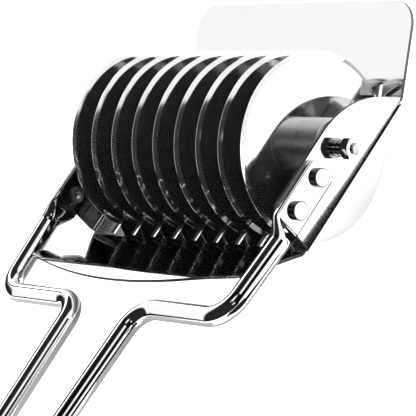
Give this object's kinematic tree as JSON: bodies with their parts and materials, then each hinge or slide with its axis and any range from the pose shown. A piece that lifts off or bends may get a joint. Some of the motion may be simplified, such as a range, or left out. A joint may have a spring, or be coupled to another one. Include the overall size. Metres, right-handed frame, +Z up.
{
  "type": "noodle cutter roller",
  "caption": "Hand noodle cutter: a row of round steel blades turns on an axle in a folded sheet frame with a front lip, a rear guard and a bent rod handle.",
  "frame": {"origin": "middle of the underside of the whole tool, level with the bottom of the blades", "axes": "+X along the axle to the right as the user holds it, +Y away from the handle, +Z up"},
  "size_m": [0.1156, 0.2092, 0.055],
  "materials": {
    "polished_stainless_sheet": "mirror-polished stainless sheet",
    "bright_rod": "bright polished stainless rod",
    "bright_rivet": "polished stainless",
    "polished_blade": "polished stainless with a ground edge",
    "turned_steel": "turned",
    "plated_nut": "bright plated",
    "black_nylon": "moulded, matt black",
    "white_nylon": "stamped, matt white"
  },
  "bodies": {
    "frame": {"frame_sheet": "polished_stainless_sheet", "handle_rod": "bright_rod", "rivet_left_front": "bright_rivet", "rivet_left_rear": "bright_rivet", "rivet_right_front": "bright_rivet", "rivet_right_rear": "bright_rivet", "thrust_washer_left": "white_nylon", "thrust_washer_right": "white_nylon"},
    "roller": {"axle": "turned_steel", "axle_nut_left": "plated_nut", "axle_nut_right": "plated_nut", "end_collar_left": "turned_steel", "end_collar_right": "turned_steel", "blade_1": "polished_blade", "blade_2": "polished_blade", "blade_3": "polished_blade", "blade_4": "polished_blade", "blade_5": "polished_blade", "blade_6": "polished_blade", "blade_7": "polished_blade", "blade_8": "polished_blade", "blade_9": "polished_blade", "spacer_1": "black_nylon", "spacer_2": "black_nylon", "spacer_3": "black_nylon", "spacer_4": "black_nylon", "spacer_5": "black_nylon", "spacer_6": "black_nylon", "spacer_7": "black_nylon", "spacer_8": "black_nylon"}
  },
  "joints": [
    {"name": "roller_spin", "type": "hinge", "parent": "frame", "child": "roller", "pos_m": [0, 0.05242, 0.0275], "axis": [1, 0, 0], "continuous": true}
  ]
}
